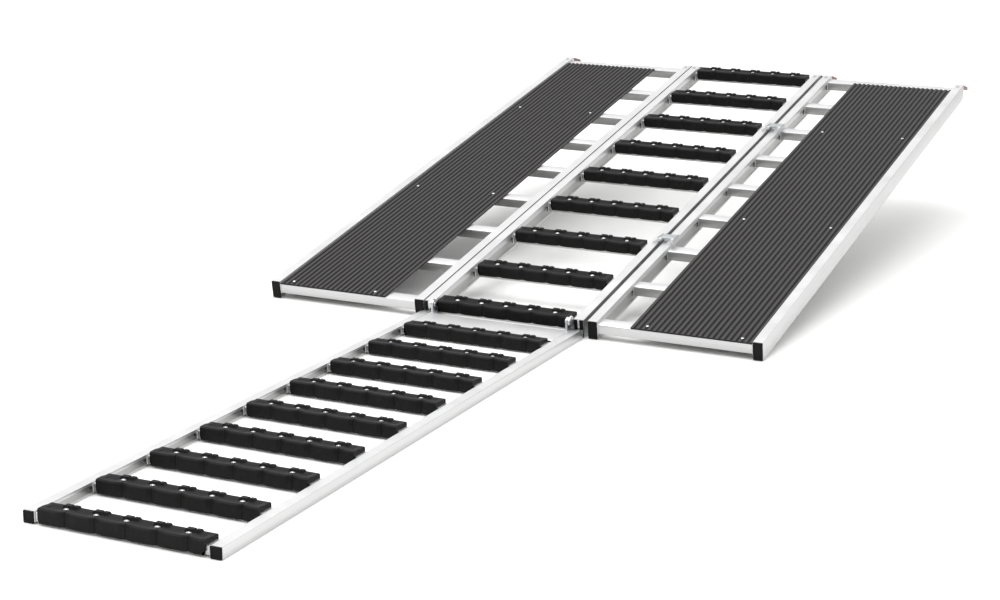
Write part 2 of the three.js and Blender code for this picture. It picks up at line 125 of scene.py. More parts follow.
surround = bpy.data.worlds.new("surround")
surround.use_nodes = True
surround.node_tree.nodes["Background"].inputs["Color"].default_value = linear("#FFFFFF")
surround.node_tree.nodes["Background"].inputs["Strength"].default_value = 1.0
bpy.context.scene.world = surround
bpy.context.scene.view_settings.view_transform = "Standard"


def soft_box(name, place, size, power):
    """A square lamp that faces the middle of the ramp."""
    lamp = bpy.data.lights.new(name, "AREA")
    lamp.size = size
    lamp.energy = power
    stand = bpy.data.objects.new(name, lamp)
    bpy.context.scene.collection.objects.link(stand)
    aimed = (-Vector(place)).to_track_quat("-Z", "Y").to_matrix().to_4x4()
    stand.matrix_world = Matrix.Translation(place) @ aimed


soft_box("key_light", (-1.5, -1.5, 6.0), 8.0, 420)
soft_box("fill_light", (4.5, -1.0, 3.5), 3.0, 40)

# ---- Ladder frames ----
# Each panel is two extruded aluminium rails with nine rectangular rungs welded between them. The rails'
# inner faces are fluted, their tops have five fine lines, and a bead of weld runs round each rung's end.

rail_wide = 26 * mm
rail_high = 48 * mm
rail_wall = 3 * mm
rail_corner = 1.5 * mm
corner_rise = 14 * mm  # the lower corner at a main rail's upper end is cut off
corner_run = 16 * mm
top_lines = [step * mm for step in (4, 8.5, 13, 17.5, 22)]  # in from the rail's inner face
rung_wide = 38 * mm
rung_high = 25 * mm
rung_drop = 8 * mm
first_rung = 20 * mm
rung_spacing = 241 * mm
main_long = 1981 * mm
centre_edge = 222 * mm
left_gap = 4 * mm
right_gap = 11 * mm
side_wide = 456.5 * mm
extension_long = 1647 * mm
extension_rail_wide = 26 * mm
extension_rail_high = 26 * mm
extension_end = 27 * mm
extension_rung_high = 18 * mm
extension_rung_drop = 3 * mm
extension_first_rung = 20 * mm
extension_rung_spacing = 183 * mm
bead = 2.2 * mm
web_sunk = 1.5 * mm

across = Vector((1, 0, 0))
along = Vector((0, 1, 0))
upward = Vector((0, 0, 1))

# The fold pins lie just below the main panels' lower end, on the line of the rail tops, and the left panel's
# hinge axis points down the ramp: together they place the main panels. The extension lies flat.
joints = {joint["name"]: joint for joint in frame["joints"]}
up_ramp = -Vector(joints["left_panel_fold"]["axis"])
fold_pin = Vector((0, -16 * mm, 0))
slope = math.atan2(up_ramp.z, up_ramp.y)
tip_up = Matrix.Rotation(slope, 4, "X")
fold_axis = Matrix.Translation(joints["extension_fold"]["pos_m"])
main_panels = fold_axis @ tip_up @ Matrix.Translation(-fold_pin)
extension_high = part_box("extension_frame")[1]
extension_joint_y = extension_high.y + extension_end
extension = Matrix.Translation((main_panels.translation.x, extension_joint_y, extension_high.z))

left_inner = -centre_edge - left_gap
left_outer = left_inner - side_wide
right_inner = centre_edge + right_gap
right_outer = right_inner + side_wide
main_rungs = [first_rung + n * rung_spacing for n in range(9)]
extension_rungs = [extension_first_rung - extension_long + n * extension_rung_spacing for n in range(9)]


def soften(part, edges, radius, segments=2):
    """Rounds these edges."""
    bmesh.ops.bevel(
        part, geom=list(edges), offset=radius, segments=segments, profile=0.5, affect="EDGES", material=-1
    )


def edges_along(part, direction):
    """The edges that run this way."""
    return [e for e in part.edges if abs((e.verts[1].co - e.verts[0].co).normalized().dot(direction)) > 0.99]


def block(low, high, radius=0, segments=2):
    """A block between two corners, with every edge rounded if a radius is given."""
    part = bmesh.new()
    low, high = Vector(low), Vector(high)
    stretch = Matrix.Diagonal((*(high - low), 1))
    bmesh.ops.create_cube(part, size=1, matrix=Matrix.Translation((low + high) / 2) @ stretch)
    if radius:
        soften(part, part.edges, radius, segments)
    return part


def gather(whole, part, finish=0):
    """Moves a part into the whole piece, with the number of the finish that it takes, or None for its own."""
    if finish is not None:
        for face in part.faces:
            face.material_index = finish
    carrier = bpy.data.meshes.new("carrier")
    part.to_mesh(carrier)
    part.free()
    whole.from_mesh(carrier)
    bpy.data.meshes.remove(carrier)


def finish_piece(name, whole, place, finishes, body, slot, nodes=None):
    """Puts a shaped piece in its place, and hides the CAD nodes that it stands for."""
    bmesh.ops.recalc_face_normals(whole, faces=whole.faces)
    bmesh.ops.transform(whole, matrix=place, verts=whole.verts)
    for face in whole.faces:
        face.smooth = True
    for edge in whole.edges:
        edge.smooth = edge.calc_face_angle(0) < math.radians(32)
    mesh = bpy.data.meshes.new(name)
    whole.to_mesh(mesh)
    whole.free()
    for finish in finishes:
        mesh.materials.append(finish)
    piece = bpy.data.objects.new(name, mesh)
    bpy.context.scene.collection.objects.link(piece)
    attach(piece, body)
    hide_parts(*(nodes or [name]))
    return piece


def groove(shell, facing, centre, wide, deep, slant):
    """A groove along a rail: cuts in the faces that look one way, with the inner ones sunk. Slant is the
    width of each side wall, so that half the groove's width makes a V."""
    sideways = facing.cross(along)
    middle = set()
    for step in sorted({-wide / 2, slant - wide / 2, wide / 2 - slant, wide / 2}):
        shell.normal_update()
        faces = [f for f in shell.faces if f.normal.dot(facing) > 0.99]
        near = {*faces, *(e for f in faces for e in f.edges), *(v for f in faces for v in f.verts)}
        cut = bmesh.ops.bisect_plane(
            shell, geom=list(near), dist=1e-6, plane_co=centre + step * sideways, plane_no=sideways
        )
        if abs(step) < wide / 2:
            middle |= {v for v in cut["geom_cut"] if isinstance(v, bmesh.types.BMVert)}
    bmesh.ops.translate(shell, verts=list(middle), vec=-deep * facing)


def rail(x0, wide, high, y0, y1, inward, flutes, corner_cut):
    """An extruded rail: a rounded box section, fluted on its inner side, and open at both ends."""
    shell = block((x0, y0, -high), (x0 + wide, y1, 0))
    ends = [f for f in shell.faces if abs(f.normal.y) > 0.9]
    bmesh.ops.delete(shell, geom=ends, context="FACES_ONLY")
    soften(shell, edges_along(shell, along), rail_corner, 3)
    inner_face = Vector((x0 + wide if inward > 0 else x0, 0, 0))
    facing = inward * across
    for z, wide_cut, deep, slant in flutes:
        groove(shell, facing, inner_face + z * upward, wide_cut, deep, slant)
    for step in top_lines:
        groove(shell, upward, inner_face - inward * step * across, 1.2 * mm, 0.4 * mm, 0.6 * mm)
    web_top, web_low = flutes[0][0] + flutes[0][1] / 2, flutes[0][0] - flutes[0][1] / 2
    shell.normal_update()
    # Painted shade: the recessed web of the inner face takes the darker web finish.
    for face in shell.faces:
        spot = face.calc_center_median()
        in_web = web_low < spot.z < web_top and (spot.x - x0 - wide / 2) * inward > 0
        face.material_index = 4 if in_web else 0
    if corner_cut:
        bmesh.ops.bisect_plane(
            shell,
            geom=[*shell.verts, *shell.edges, *shell.faces],
            dist=1e-6,
            plane_co=(0, y1, corner_rise - high),
            plane_no=(0, corner_rise, -corner_run),
            clear_outer=True,
        )
    bmesh.ops.recalc_face_normals(shell, faces=shell.faces)
    bmesh.ops.solidify(shell, geom=shell.faces[:], thickness=rail_wall)
    return shell


def weld_bead(rail_face, side, y, drop, high):
    """A rippled fillet of weld round a rung's end, where it meets the rail's face."""
    part = bmesh.new()
    half_y, half_z = rung_wide / 2, high / 2
    middle = Vector((rail_face, y, -drop - half_z))
    corners = [(half_y, half_z), (-half_y, half_z), (-half_y, -half_z), (half_y, -half_z)]
    section = [(1, 0), (0.85, 0.5), (0.5, 0.85), (0, 1), (-0.5, -0.5), (1, 0)]
    per_side = 14
    steps = 4 * per_side
    bmesh.ops.create_grid(part, x_segments=steps, y_segments=len(section) - 1, size=1)
    for vert in part.verts:
        step = round((vert.co.x + 1) / 2 * steps)
        away, out = section[round((vert.co.y + 1) / 2 * (len(section) - 1))]
        edge, step_in = divmod(step % steps, per_side)
        start, end = Vector(corners[edge]), Vector(corners[(edge + 1) % 4])
        point = start.lerp(end, step_in / per_side)
        outwards = Vector((point.x / half_y, point.y / half_z))
        outwards = Vector([math.copysign(abs(reach) ** 8, reach) for reach in outwards])
        ripple = bead * (1 if step % 2 else 0.82)
        point += outwards.normalized() * out * ripple
        vert.co = middle + Vector((side * away * ripple, point.x, point.y))
    bmesh.ops.remove_doubles(part, verts=part.verts, dist=1e-6)
    return part


def rail_web_bush(middle, side):
    """A black rubber bush in the rail's web beside a rung, with a hollow middle."""
    bush = rod(middle, side * across, 3.4 * mm, 1.6 * mm, 16)
    bush.normal_update()
    face = max(bush.faces, key=lambda f: side * f.normal.x)
    bmesh.ops.inset_region(bush, faces=[face], thickness=0.9 * mm, depth=0)
    bmesh.ops.inset_region(bush, faces=[face], thickness=0.1 * mm, depth=-0.7 * mm)
    return bush


def ladder(left, right, wide, high, y0, y1, rungs, drop, thick, flutes, corner_cut):
    """Two rails, the rungs between them, and the weld at both ends of each rung."""
    whole = bmesh.new()
    gather(whole, rail(left, wide, high, y0, y1, 1, flutes, corner_cut), None)
    gather(whole, rail(right - wide, wide, high, y0, y1, -1, flutes, corner_cut), None)
    for n, y in enumerate(rungs):
        low = (left + wide - 1 * mm, y - rung_wide / 2, -drop - thick)
        rung = block(low, (right - wide + 1 * mm, y + rung_wide / 2, -drop))
        soften(rung, edges_along(rung, across), 1.2 * mm)
        rung.normal_update()
        for face in rung.faces:
            # Painted shade: the front and back faces of each rung after the first take the darker rung-side
            # finish.
            face.material_index = 3 if n > 0 and abs(face.normal.y) > 0.9 else 1
        gather(whole, rung, None)
        for rail_face, side in ((left + wide, 1), (right - wide, -1)):
            gather(whole, weld_bead(rail_face, side, y, drop, thick), 2)
            if n > 0:
                hole = Vector((rail_face - side * web_sunk, y - rung_wide / 2 - 7 * mm, -drop - 0.4 * thick))
                gather(whole, rail_web_bush(hole, side), 5)
    return whole


def mill_aluminium(name, tilt, lines, wear_and_lit_top, painted_shade_side):
    """Mill-finish extruded aluminium: bright and satin, with fine die lines along the section and soft clouds
    where the oxide and handling differ. Lines gives the coarseness across X, Y and Z in millimetres. Faces
    that look up from the deck are painted lighter as a painted highlight, and the others darker as painted
    shade."""
    material, tree = blank(name)
    place = add(tree, "TexCoord", {})
    level = add(tree, "Mapping", {"Vector": place.outputs["Object"], "Rotation": (-tilt, 0, 0)})
    drawing = [1 / (size * mm) for size in lines]
    drawn = add(tree, "Mapping", {"Vector": level.outputs["Vector"], "Scale": drawing})
    die = add(tree, "TexNoise", {"Vector": drawn.outputs["Vector"], "Scale": 1.0, "Detail": 3.0})
    cloud = add(
        tree, "TexNoise", {"Vector": level.outputs["Vector"], "Scale": 9.0, "Detail": 5.0, "Roughness": 0.6}
    )
    # Painted highlight and painted shade: faces that look up from the deck take the lighter colour, the
    # others the darker one.
    deck_up = tuple(Matrix.Rotation(tilt, 3, "X") @ upward)
    facing_up = add(tree, "VectorMath", {0: place.outputs["Normal"], 1: deck_up}, operation="DOT_PRODUCT")
    lit_top_mask = spread(tree, facing_up.outputs["Value"], 0.5, 0.95, 0.0, 1.0)
    base = add(tree, "MixRGB", {"Fac": lit_top_mask, "Color1": linear(painted_shade_side), "Color2": linear(wear_and_lit_top)})
    clouded = add(
        tree,
        "MixRGB",
        {"Fac": cloud.outputs["Fac"], "Color1": linear("#E9E9EA"), "Color2": linear("#FFFFFF")},
    )
    grey = add(
        tree,
        "MixRGB",
        {"Fac": 1.0, "Color1": base.outputs["Color"], "Color2": clouded.outputs["Color"]},
        blend_type="MULTIPLY",
    )
    tone = add(
        tree,
        "MixRGB",
        {"Fac": 0.22, "Color1": grey.outputs["Color"], "Color2": die.outputs["Fac"]},
        blend_type="OVERLAY",
    )
    shine = spread(tree, cloud.outputs["Fac"], 0.3, 0.7, 0.3, 0.44)
    bumps = add(tree, "Bump", {"Height": die.outputs["Fac"], "Strength": 0.35, "Distance": 0.15 * mm})
    metal = add(
        tree,
        "BsdfPrincipled",
        {
            "Base Color": tone.outputs["Color"],
            "Metallic": 1.0,
            "Roughness": shine,
            "Normal": bumps.outputs["Normal"],
        },
    )
    add(tree, "OutputMaterial", {"Surface": metal.outputs["BSDF"]})
    return material


def weld_metal():
    """As-welded aluminium filler: duller than the rail, frosted, with a little soot in its ripples."""
    material, tree = blank("weld_metal")
    place = add(tree, "TexCoord", {})
    frost = add(tree, "TexNoise", {"Vector": place.outputs["Object"], "Scale": 1 / (1.5 * mm), "Detail": 2.0})
    soot, clean = linear("#A9A9A9"), linear("#D4D4D4")
    grey = add(tree, "MixRGB", {"Fac": frost.outputs["Fac"], "Color1": soot, "Color2": clean})
    bumps = add(tree, "Bump", {"Height": frost.outputs["Fac"], "Strength": 0.5, "Distance": 0.3 * mm})
    metal = add(
        tree,
        "BsdfPrincipled",
        {
            "Base Color": grey.outputs["Color"],
            "Metallic": 1.0,
            "Roughness": 0.48,
            "Normal": bumps.outputs["Normal"],
        },
    )
    add(tree, "OutputMaterial", {"Surface": metal.outputs["BSDF"]})
    return material


weld = weld_metal()
along_rail = (1.2, 400, 1.2)
along_rung = (400, 1.2, 1.2)


def bush_rubber():
    """Moulded black rubber: matt and nearly black, with a little grey bloom."""
    material, tree = blank("moulded_rubber_bush")
    place = add(tree, "TexCoord", {})
    bloom = add(tree, "TexNoise", {"Vector": place.outputs["Object"], "Scale": 1 / (2 * mm), "Detail": 3.0})
    black, grey = linear("#0C0C0C"), linear("#1E1E1E")
    tone = add(tree, "MixRGB", {"Fac": bloom.outputs["Fac"], "Color1": black, "Color2": grey})
    rubber = add(
        tree,
        "BsdfPrincipled",
        {"Base Color": tone.outputs["Color"], "Roughness": 0.7, "IOR": 1.52, "Specular IOR Level": 0.2},
    )
    add(tree, "OutputMaterial", {"Surface": rubber.outputs["BSDF"]})
    return material


rubber = bush_rubber()


def frame_finishes(panel, tilt):
    """Rails, rungs, weld, the rungs' sides and the recessed web of a rail's inner face in painted shade, and
    the bushes.
    """
    return [
        mill_aluminium(f"mill_aluminium_{panel}_rails", tilt, along_rail, "#F6F6F6", "#CFCFCF"),
        mill_aluminium(f"mill_aluminium_{panel}_rungs", tilt, along_rung, "#F4F4F4", "#C4C4C4"),
        weld,
        # Painted shade: darker aluminium for the rungs' front and back faces and for the rails' recessed
        # webs.
        mill_aluminium(f"mill_aluminium_{panel}_rung_sides_painted_shade", tilt, along_rung, "#C4C4C3", "#B0B0AF"),
        mill_aluminium(f"mill_aluminium_{panel}_rail_webs_painted_shade", tilt, along_rail, "#D4D4D3", "#B4B4B3"),
        rubber,
    ]


main_finishes = frame_finishes("main", slope)
extension_finishes = frame_finishes("extension", 0)

# The grooves of a rail's inner face: height, width, depth and slant of each. The first is the recessed web.
main_flutes = [(-29.5 * mm, 27 * mm, 1.6 * mm, 0.8 * mm)]
main_flutes += [(-z * mm, 1.4 * mm, 0.6 * mm, 0.7 * mm) for z in (4, 7.5, 11, 20, 24, 28, 32, 36, 39.5)]
extension_flutes = [(-14 * mm, 14 * mm, 1.4 * mm, 0.8 * mm)]
extension_flutes += [(-z * mm, 1.2 * mm, 0.5 * mm, 0.6 * mm) for z in (3.5, 11, 14, 17)]


def prism(points, direction, start, end, radius=0, segments=2):
    """An outline extruded along X, drawn as (Y, Z), or along Y, drawn as (X, Z)."""
    part = bmesh.new()
    put = (lambda a, b: (start, a, b)) if direction == across else (lambda a, b: (a, start, b))
    face = part.faces.new([part.verts.new(put(a, b)) for a, b in points])
    made = bmesh.ops.extrude_face_region(part, geom=[face])["geom"]
    moved = [v for v in made if isinstance(v, bmesh.types.BMVert)]
    bmesh.ops.translate(part, verts=moved, vec=(end - start) * direction)
    bmesh.ops.recalc_face_normals(part, faces=part.faces)
    if radius:
        soften(part, part.edges, radius, segments)
    return part


def rod(middle, direction, radius, long, segments=24, rounding=0):
    """A round bar, its two end edges rounded if a size is given."""
    part = bmesh.new()
    turn = upward.rotation_difference(direction).to_matrix().to_4x4()
    bmesh.ops.create_cone(
        part,
        cap_ends=True,
        segments=segments,
        radius1=radius,
        radius2=radius,
        depth=long,
        matrix=Matrix.Translation(middle) @ turn,
    )
    if rounding:
        sides = edges_along(part, direction)
        soften(part, [edge for edge in part.edges if edge not in sides], rounding)
    return part


def arc(middle, radius, start, end, steps):
    """Points on an arc, in degrees, from start to end."""
    angles = [math.radians(start + (end - start) * n / steps) for n in range(steps + 1)]
    return [(middle[0] + radius * math.cos(a), middle[1] + radius * math.sin(a)) for a in angles]


lug_radius = 11 * mm
lug_thick = 5.5 * mm
lug_face = centre_edge - rail_wide


def fold_lug(side):
    """A plate welded inside a centre rail, which carries the fold pin beyond the rail's end."""
    pin_y = fold_pin.y
    points = arc((pin_y, 0), lug_radius, 90, 270, 14)
    points += [(pin_y + lug_radius, -lug_radius), (5 * mm, -22 * mm), (34 * mm, -22 * mm)]
    points += [(34 * mm, -3 * mm), (5 * mm, -3 * mm), (pin_y + lug_radius, lug_radius)]
    faces = sorted([side * (lug_face - lug_thick), side * (lug_face - 0.1 * mm)])
    return prism(points, across, *faces, 0.7 * mm, 2)


hinge_stations = [0.27 * main_long, 0.73 * main_long]
link_wide = 26 * mm
link_long = 34 * mm
inner_pin_x = centre_edge + 5.7 * mm
outer_pin_x = inner_pin_x + link_long
link_pin_z = 10 * mm
knuckle_wide = 10 * mm
knuckle_radius = 4.7 * mm
play = 0.4 * mm


def knuckles(whole, pin_x, rail_edge):
    """Two welded lugs at each hinge, standing on the rail's top and curling over one pin."""
    for station in hinge_stations:
        for side in (-1, 1):
            near = station + side * (link_wide / 2 + play)
            y0, y1 = sorted([near, near + side * knuckle_wide])
            points = [(rail_edge - 16 * mm, -0.5 * mm), (rail_edge - 16 * mm, 1 * mm)]
            points += arc((pin_x, link_pin_z), knuckle_radius, 125, -150, 16)
            points += [(rail_edge, 2 * mm), (rail_edge, -0.5 * mm)]
            gather(whole, prism(points, along, y0, y1, 0.5 * mm, 1))


def main_ladder(left, right):
    """The ladder of one of the three main panels, between two places across the ramp."""
    return ladder(
        left, right, rail_wide, rail_high, 0, main_long, main_rungs, rung_drop, rung_high, main_flutes, True
    )


centre = main_ladder(-centre_edge, centre_edge)
gather(centre, fold_lug(-1))
gather(centre, fold_lug(1))
knuckles(centre, inner_pin_x, centre_edge)
main_look = (main_panels, main_finishes)
finish_piece("centre_ladder", centre, *main_look, "centre", "frame_aluminium", ["centre_frame"])

left = main_ladder(left_outer, left_inner)
finish_piece("left_ladder", left, *main_look, "left_panel", "frame_aluminium", ["left_frame"])

right = main_ladder(right_inner, right_outer)
knuckles(right, outer_pin_x, right_inner + rail_wide)
finish_piece("right_ladder", right, *main_look, "right_panel", "frame_aluminium", ["right_frame"])

lower = ladder(
    -centre_edge,
    centre_edge,
    extension_rail_wide,
    extension_rail_high,
    -extension_long,
    -extension_end,
    extension_rungs,
    extension_rung_drop,
    extension_rung_high,
    extension_flutes,
    False,
)
finish_piece(
    "extension_ladder",
    lower,
    extension,
    extension_finishes,
    "extension",
    "frame_aluminium",
    ["extension_frame"],
)

# ---- Glide caps ----
# A black moulded saddle is screwed down over each rung of the centre panel and the extension, with five
# pan-head screws. Seams beside the screws part its front face, and a wavy channel runs along its top.

cap_long = 372 * mm
cap_deep = 48 * mm
cap_top = 13 * mm  # above the rung's top
cap_skirt = 18.5 * mm  # below the rung's top
cap_chamfer = 8 * mm
screw_pitch = 68.4 * mm
screw_radius = 6 * mm
channel_depth = 4.6 * mm
seam_shift = 13 * mm  # the front seams lie beside the screws
notch_shift = 6 * mm  # and so do the notches in the back ridge
tooth_before = 20.5 * mm  # the ridge's raised teeth reach this far to each side of a notch
tooth_after = 13.5 * mm
tooth_slope = 2.5 * mm
channel_end = 13 * mm  # the channel stops this far from the cap's ends
cap_screws = [(n - 2) * screw_pitch for n in range(5)]


def swell(distance, before, after):
    """1 at no distance, falling smoothly to 0 at the reach before it and after it."""
    reach = before if distance < 0 else after
    return 0.5 + 0.5 * math.cos(math.pi * min(abs(distance) / reach, 1))


def cap_section(x):
    """The cap's outline across its length at x, as (Y, Z) points from the front skirt over the top and back,
    with Z = 0 on the rung's top."""
    from_seam = min((x - screw - seam_shift for screw in cap_screws), key=abs)
    from_notch = min((x - screw - notch_shift for screw in cap_screws), key=abs)
    seam = max(0, 1 - abs(from_seam) / (2.5 * mm))
    notch = max(0, 1 - abs(from_notch) / (2.5 * mm))
    half = cap_deep / 2
    front = -half + 1.6 * mm * seam + 0.5 * mm * swell(from_seam, 16 * mm, 16 * mm)
    back = half - 1.2 * mm * notch - 0.5 * mm * swell(from_notch, 16 * mm, 16 * mm)
    front_top = cap_top - 1.4 * mm + 1.4 * mm * swell(from_seam, 24 * mm, 18 * mm) - 0.8 * mm * seam
    into_tooth = min(from_notch + tooth_before, tooth_after - from_notch)
    tooth = max(0, min(1, into_tooth / tooth_slope))
    back_top = cap_top - 3.6 * mm + 3.6 * mm * tooth - 2.8 * mm * notch
    to_end = cap_long / 2 - abs(x)
    closed = max(0, min(1, (channel_end - to_end) / (4 * mm)))
    wave = 3.2 * mm * math.cos(2 * math.pi * (x - seam_shift) / screw_pitch)
    floor = cap_top - channel_depth
    floor_front = floor + (front_top - floor) * closed
    floor_back = floor + (back_top - floor) * closed
    foot = -cap_skirt + 1.2 * mm * swell(from_seam, 14 * mm, 14 * mm)
    slot = rung_wide / 2 + play
    return [
        (front + 0.8 * mm, foot),
        (front, foot + 1.2 * mm),
        (front, cap_chamfer - cap_skirt),
        (front, 9 * mm),
        (front + 1 * mm, front_top - 1.8 * mm),
        (front + 3.4 * mm, front_top),
        (-10.5 * mm + wave, front_top),
        (-8 * mm + wave, floor_front),
        (8 * mm + 0.6 * wave, floor_back),
        (10.5 * mm + 0.6 * wave, back_top),
        (back - 3.4 * mm, back_top),
        (back - 1 * mm, back_top - 1.8 * mm),
        (back, 6 * mm),
        (back, cap_chamfer - cap_skirt),
        (back, foot + 1.2 * mm),
        (back - 0.8 * mm, foot),
        (slot, -cap_skirt),
        (slot, play),
        (-slot, play),
        (-slot, -cap_skirt),
        (front + 0.8 * mm, foot),
    ]


def screw_head(middle, radius, high):
    """A pan head with a cross recess."""
    part = bmesh.new()
    bmesh.ops.create_uvsphere(part, u_segments=16, v_segments=8, radius=radius)
    everything = [*part.verts, *part.edges, *part.faces]
    bmesh.ops.bisect_plane(
        part, geom=everything, dist=1e-6, plane_co=(0, 0, 0), plane_no=upward, clear_inner=True
    )
    bmesh.ops.holes_fill(part, edges=[e for e in part.edges if e.is_boundary])
    bmesh.ops.rotate(part, verts=part.verts, matrix=Matrix.Rotation(math.radians(11.25), 3, "Z"))
    bmesh.ops.scale(part, verts=part.verts, vec=(1, 1, high / radius))
    part.normal_update()
    recess = []
    for face in part.faces:
        spot = face.calc_center_median()
        reach = Vector((spot.x, spot.y)).length
        square_on = min(abs(spot.x), abs(spot.y)) < 0.1 * reach
        if face.normal.z > 0.3 and (reach < 0.3 * radius or (square_on and reach < 0.62 * radius)):
            recess.append(face)
    bmesh.ops.inset_region(part, faces=recess, thickness=0.03 * radius, depth=-0.35 * high)
    bmesh.ops.translate(part, verts=part.verts, vec=middle)
    return part


def glide_cap(y, drop):
    """One cap with its five screws, over a rung whose top is this far below the rail tops."""
    half = cap_long / 2
    stations = {-half, half, *(n * 4 * mm for n in range(-45, 46))}
    for screw in cap_screws:
        for shift in (seam_shift, notch_shift):
            stations |= {screw + shift + step * mm for step in (-2.5, -1.2, 0, 1.2, 2.5)}
        for step in (-tooth_before, tooth_slope - tooth_before, tooth_after - tooth_slope, tooth_after):
            stations.add(screw + notch_shift + step)
    for step in (3 * mm, channel_end - 4 * mm, channel_end - 2 * mm, channel_end):
        stations |= {half - step, step - half}
    stations = sorted(x for x in stations if abs(x) <= half)
    rows = len(cap_section(0)) - 1
    cap = bmesh.new()
    bmesh.ops.create_grid(cap, x_segments=len(stations) - 1, y_segments=rows, size=1)
    sections = [cap_section(x) for x in stations]
    for vert in cap.verts:
        column = round((vert.co.x + 1) / 2 * (len(stations) - 1))
        y_here, z = sections[column][round((vert.co.y + 1) / 2 * rows)]
        x = stations[column]
        if abs(x) == half:
            x = math.copysign(half - max(0, cap_chamfer - cap_skirt - z), x)
        vert.co = (x, y + y_here, z - drop)
    bmesh.ops.remove_doubles(cap, verts=cap.verts, dist=1e-6)
    bmesh.ops.holes_fill(cap, edges=[e for e in cap.edges if e.is_boundary])
    whole = bmesh.new()
    gather(whole, cap)
    for x in cap_screws:
        middle = (x, y, cap_top - channel_depth - drop - 0.3 * mm)
        gather(whole, screw_head(middle, screw_radius, 3.4 * mm), 1)
    return whole


def moulded_polyethylene(name, colour, scuffed, shine, grain):
    """Moulded polyethylene: deep colour with a soft waxy sheen, a fine mould grain, and paler scuffs."""
    material, tree = blank(name)
    place = add(tree, "TexCoord", {})
    mould = {"Vector": place.outputs["Object"], "Scale": 1 / (grain * mm), "Detail": 3.0}
    fine = add(tree, "TexNoise", mould)
    wear = add(
        tree, "TexNoise", {"Vector": place.outputs["Object"], "Scale": 60.0, "Detail": 6.0, "Roughness": 0.7}
    )
    scuff = spread(tree, wear.outputs["Fac"], 0.52, 0.75, 0.0, 1.0)
    tone = add(tree, "MixRGB", {"Fac": scuff, "Color1": linear(colour), "Color2": linear(scuffed)})
    rough = spread(tree, wear.outputs["Fac"], 0.3, 0.7, shine, shine + 0.16)
    bumps = add(tree, "Bump", {"Height": fine.outputs["Fac"], "Strength": 0.3, "Distance": 0.25 * mm})
    plastic = add(
        tree,
        "BsdfPrincipled",
        {
            "Base Color": tone.outputs["Color"],
            "Roughness": rough,
            "IOR": 1.51,
            "Specular IOR Level": 0.1,
            "Normal": bumps.outputs["Normal"],
        },
    )
    add(tree, "OutputMaterial", {"Surface": plastic.outputs["BSDF"]})
    return material


def zinc_plate(name, dark, light, rough):
    """Bright zinc plate on steel: cool grey, a little cloudy, with fine turning or rolling marks."""
    material, tree = blank(name)
    place = add(tree, "TexCoord", {})
    cloud = add(tree, "TexNoise", {"Vector": place.outputs["Object"], "Scale": 70.0, "Detail": 4.0})
    grey = add(tree, "MixRGB", {"Fac": cloud.outputs["Fac"], "Color1": linear(dark), "Color2": linear(light)})
    marks = add(tree, "TexNoise", {"Vector": place.outputs["Object"], "Scale": 1 / (0.7 * mm), "Detail": 2.0})
    bumps = add(tree, "Bump", {"Height": marks.outputs["Fac"], "Strength": 0.2, "Distance": 0.1 * mm})
    shine = spread(tree, cloud.outputs["Fac"], 0.3, 0.7, rough, rough + 0.12)
    metal = add(
        tree,
        "BsdfPrincipled",
        {
            "Base Color": grey.outputs["Color"],
            "Metallic": 1.0,
            "Roughness": shine,
            "Normal": bumps.outputs["Normal"],
        },
    )
    add(tree, "OutputMaterial", {"Surface": metal.outputs["BSDF"]})
    return material


cap_plastic = moulded_polyethylene("moulded_black_polyethylene", "#111111", "#1D1D1C", 0.36, 0.8)
screw_zinc = zinc_plate("zinc_plated_screws", "#C9CDD0", "#EEF0F1", 0.22)

for n, y in enumerate(main_rungs):
    finish_piece(
        f"centre_glide_cap_{n + 1}",
        glide_cap(y, rung_drop),
        main_panels,
        [cap_plastic, screw_zinc],
        "centre",
        "cap_plastic",
        [f"centre_cap_{n + 1}"],
    )
for n, y in enumerate(extension_rungs):
    finish_piece(
        f"extension_glide_cap_{n + 1}",
        glide_cap(y, extension_rung_drop),
        extension,
        [cap_plastic, screw_zinc],
        "extension",
        "cap_plastic",
        [f"extension_cap_{n + 1}"],
    )

# ---- Deck mats ----
# One long charcoal mat of extruded polyethylene lies on the rungs of each side panel, against the outer rail.
# Twenty-two flat ribs run up the ramp, and a few flat screws through the mat hold it to every third rung.

mat_wide = 316 * mm
mat_front = 1 * mm
mat_back = 1932 * mm
mat_base = 1.6 * mm
rib_count = 22
rib_wide = 8 * mm
rib_top = -3.5 * mm
mat_bottom = play - rung_drop


def ribbed_mat(x0, screws):
    """A mat with its screws: a ribbed section drawn across the ramp and extruded up it."""
    pitch = (mat_wide - rib_wide) / (rib_count - 1)
    valley = mat_bottom + mat_base
    points = [(x0 + mat_wide, mat_bottom), (x0, mat_bottom)]
    for n in range(rib_count):
        start = x0 + n * pitch
        end = start + rib_wide
        if n > 0:
            points.append((start - 0.6 * mm, valley))
        points += [(start, rib_top - 0.7 * mm), (start + 0.7 * mm, rib_top)]
        points += [(end - 0.7 * mm, rib_top), (end, rib_top - 0.7 * mm)]
        if n < rib_count - 1:
            points.append((end + 0.6 * mm, valley))
    whole = bmesh.new()
    gather(whole, prism(points, along, mat_front, mat_back))
    for x in screws:
        for y in main_rungs[0::3]:
            gather(whole, screw_head((x, y, rib_top - 0.4 * mm), 4.2 * mm, 1.8 * mm), 1)
    return whole


